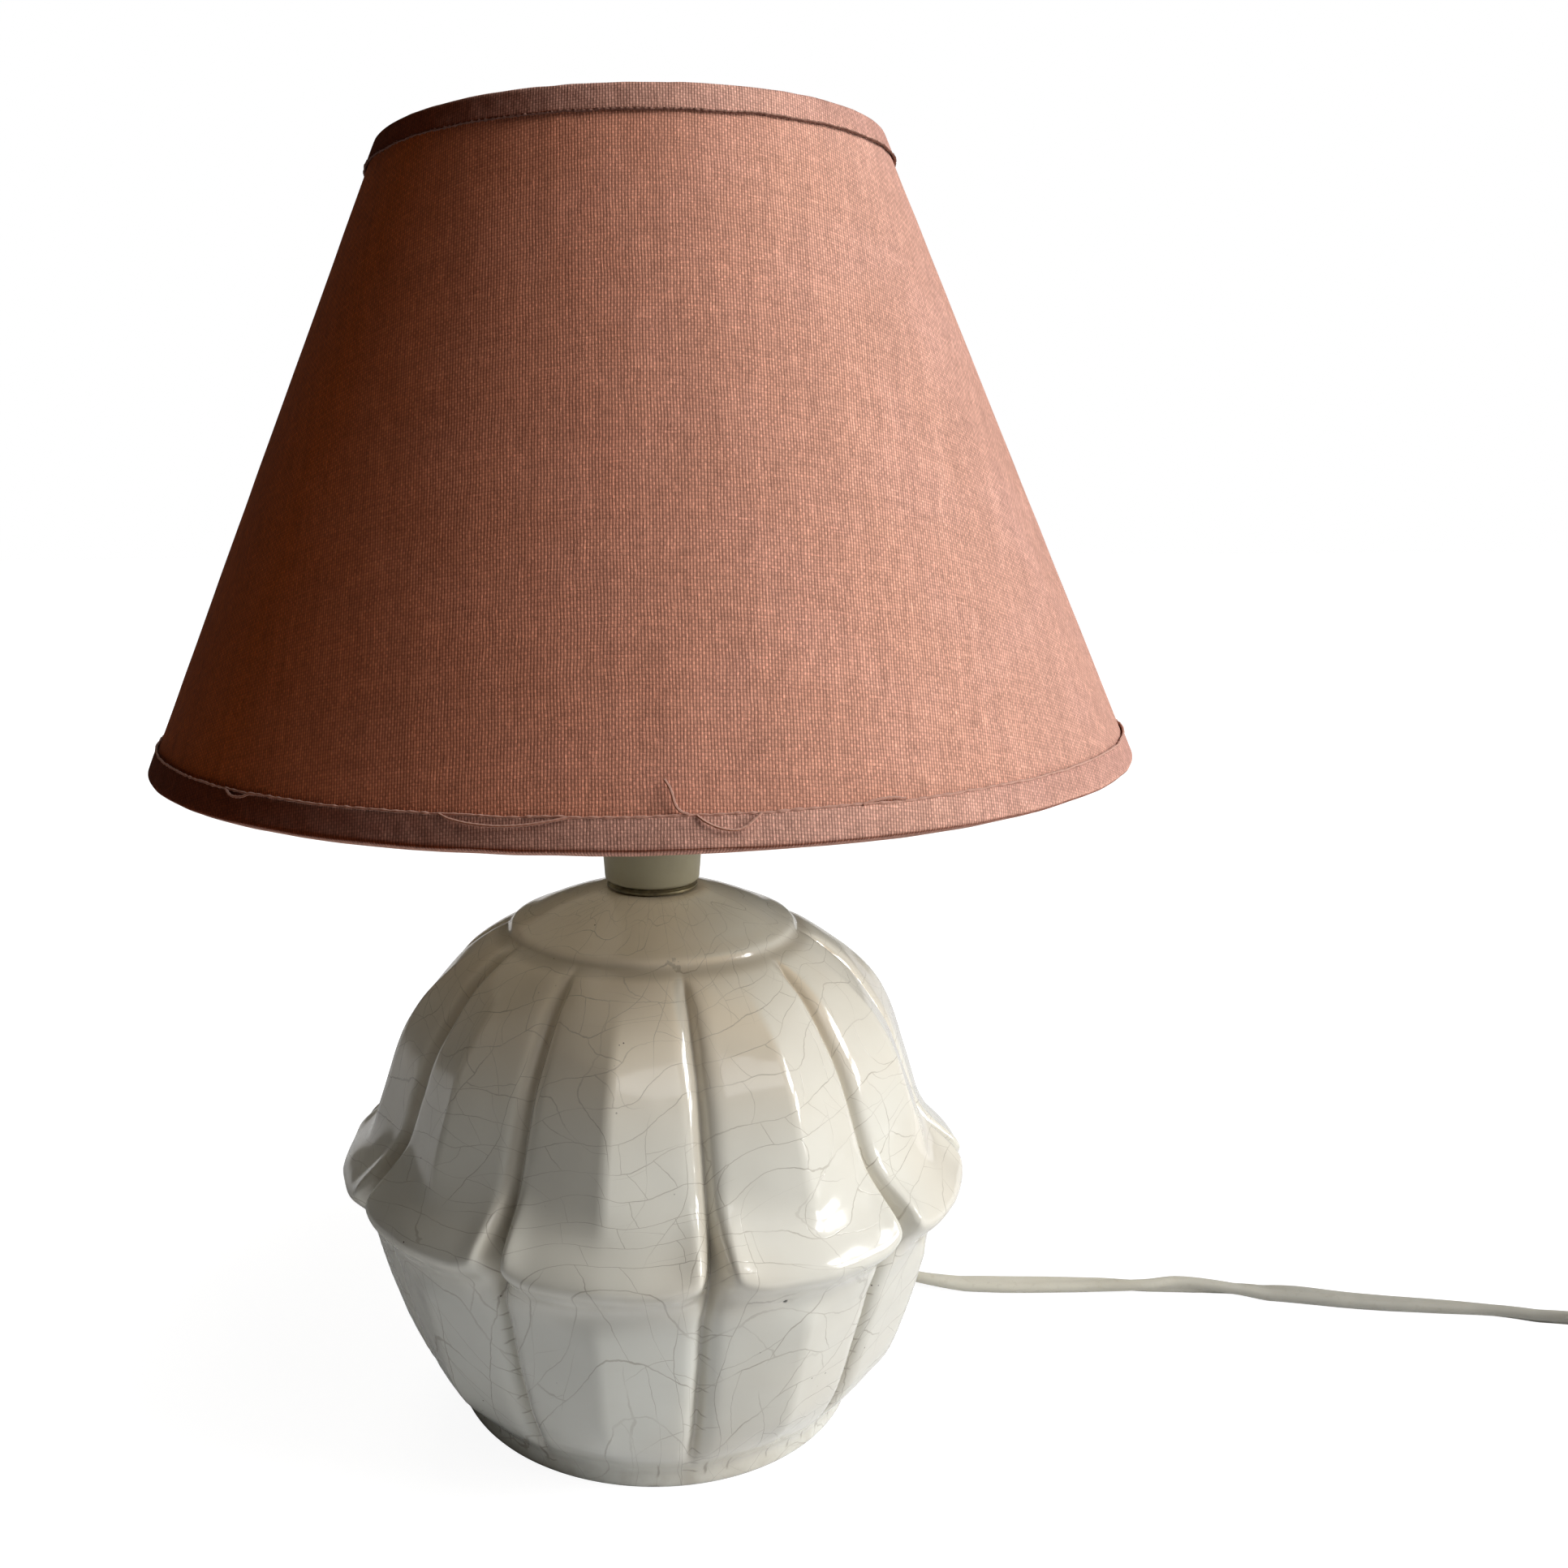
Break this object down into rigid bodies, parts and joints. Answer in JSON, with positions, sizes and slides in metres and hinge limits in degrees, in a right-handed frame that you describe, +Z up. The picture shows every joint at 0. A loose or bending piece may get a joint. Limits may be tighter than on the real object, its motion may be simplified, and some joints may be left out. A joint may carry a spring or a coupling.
{
  "type": "table lamp",
  "caption": "Small table lamp: petal-lobed glazed ceramic body, screw lampholder and bulb, tapered fabric shade on a wire carrier, flat flex with rocker switch and plug.",
  "frame": {"origin": "centre of the foot, on the table plane, on the body's axis", "axes": "+Z up through the lampholder, -Y the side that faces the viewer, +X the side the flex leaves towards"},
  "size_m": [0.4498, 0.3032, 0.3458],
  "materials": {
    "glazed_ceramic": "glossy off-white glaze with a fine crackle",
    "brown_felt": "wool felt",
    "cream_plastic": "moulded thermoplastic, satin gloss",
    "white_plastic": "moulded thermoplastic",
    "aged_brass": "dull, darkened",
    "zinc_steel": "zinc plated",
    "nickel_pin": "nickel plated",
    "grey_rubber": "matt",
    "flex_sheath": "smooth PVC",
    "brown_core": "smooth PVC",
    "blue_core": "smooth PVC",
    "shade_fabric": "plain-weave linen look, terracotta pink",
    "trim_fabric": "the same cloth cut on the straight, folded over the edge",
    "shade_liner": "white self-adhesive shade board",
    "painted_wire": "white epoxy coat",
    "bulb_glass": "clear",
    "black_glass": "black vitrified glass",
    "tungsten": "drawn wire"
  },
  "bodies": {
    "base": {"ceramic_body": "glazed_ceramic", "base_felt": "brown_felt", "cord_bushing": "cream_plastic", "neck_collar": "aged_brass", "threaded_nipple": "zinc_steel", "rubber_washer": "grey_rubber", "steel_washer": "zinc_steel", "nipple_nut": "zinc_steel", "holder_cap": "cream_plastic", "holder_set_screw": "zinc_steel", "holder_skirt": "cream_plastic", "holder_insert": "white_plastic", "terminal_screw_live": "zinc_steel", "terminal_screw_neutral": "zinc_steel", "screw_shell": "aged_brass", "centre_contact": "aged_brass", "conductor_live": "brown_core", "conductor_neutral": "blue_core", "power_cord": "flex_sheath", "plug_cord": "flex_sheath", "switch_case_lower": "cream_plastic", "switch_case_upper": "cream_plastic", "case_screw_a": "zinc_steel", "case_screw_b": "zinc_steel", "switch_contact_a": "aged_brass", "switch_contact_b": "aged_brass", "rocker_pivot_pin": "zinc_steel", "plug_body": "cream_plastic", "plug_pin_a": "nickel_pin", "plug_pin_b": "nickel_pin"},
    "shade": {"shade_fabric": "shade_fabric", "shade_liner": "shade_liner", "top_trim": "trim_fabric", "bottom_trim": "trim_fabric", "top_ring": "painted_wire", "bottom_ring": "painted_wire", "gimbal_ring": "painted_wire", "gimbal_arm_a": "painted_wire", "gimbal_arm_b": "painted_wire", "gimbal_arm_c": "painted_wire"},
    "shade_ring": {"shade_ring_nut": "cream_plastic"},
    "bulb": {"bulb_glass": "bulb_glass", "bulb_cap": "nickel_pin", "bulb_insulator": "black_glass", "bulb_tip_contact": "nickel_pin", "bulb_stem": "bulb_glass", "lead_wire_a": "zinc_steel", "lead_wire_b": "zinc_steel", "filament": "tungsten"},
    "rocker": {"switch_rocker": "white_plastic", "switch_bridge": "aged_brass"}
  },
  "joints": [
    {"name": "shade_turn", "type": "hinge", "parent": "base", "child": "shade", "pos_m": [0, 0, 0.2021], "axis": [0, 0, 1], "continuous": true},
    {"name": "shade_ring_turn", "type": "hinge", "parent": "base", "child": "shade_ring", "pos_m": [0, 0, 0.206], "axis": [0, 0, 1], "range_deg": [0, 720]},
    {"name": "bulb_unscrew", "type": "hinge", "parent": "base", "child": "bulb", "pos_m": [0, 0, 0.2], "axis": [0, 0, 1], "range_deg": [0, 1800]},
    {"name": "rocker_tilt", "type": "hinge", "parent": "base", "child": "rocker", "pos_m": [0.303, -0.048, 0.0125], "axis": [1, 0, 0], "range_deg": [0, 16]}
  ]
}
